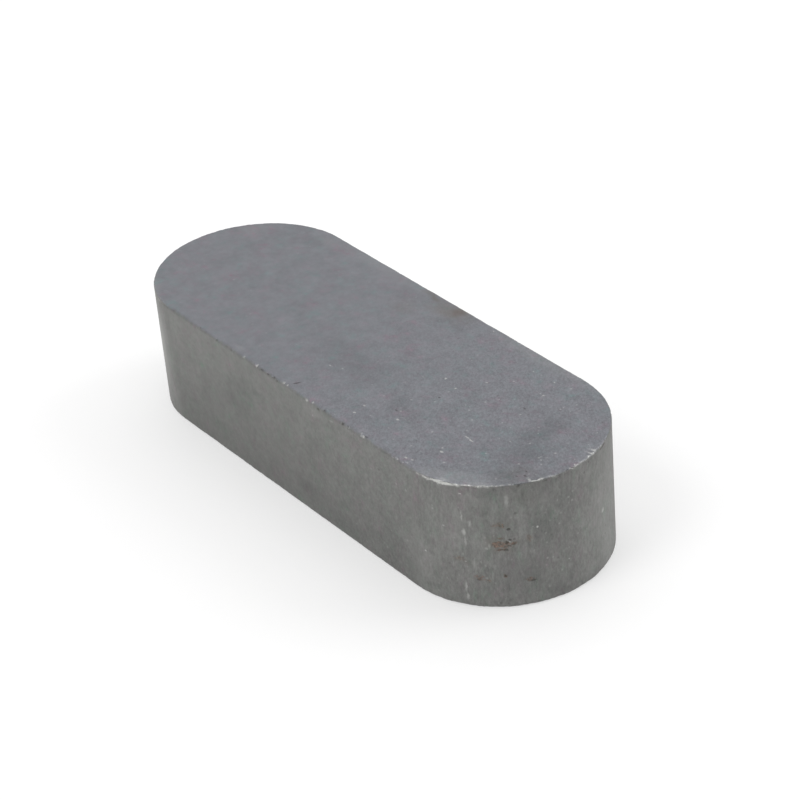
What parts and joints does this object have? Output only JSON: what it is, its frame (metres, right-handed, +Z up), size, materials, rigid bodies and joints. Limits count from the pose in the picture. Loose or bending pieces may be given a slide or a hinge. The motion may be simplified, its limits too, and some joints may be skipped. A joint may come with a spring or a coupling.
{
  "type": "parallel key",
  "caption": "Solid steel parallel key with both ends fully round and lightly broken edges, which locks a hub on a shaft by its two flat flanks.",
  "frame": {"origin": "middle of the bottom face, which lies on the floor of the shaft's keyway", "axes": "+X along the key's length, +Y across its width from one flank to the other, +Z up from the bottom face to the face under the hub"},
  "size_m": [0.063, 0.022, 0.014],
  "materials": {
    "drawn_steel": "matte"
  },
  "bodies": {
    "root": {"parallel_key": "drawn_steel"}
  },
  "joints": []
}
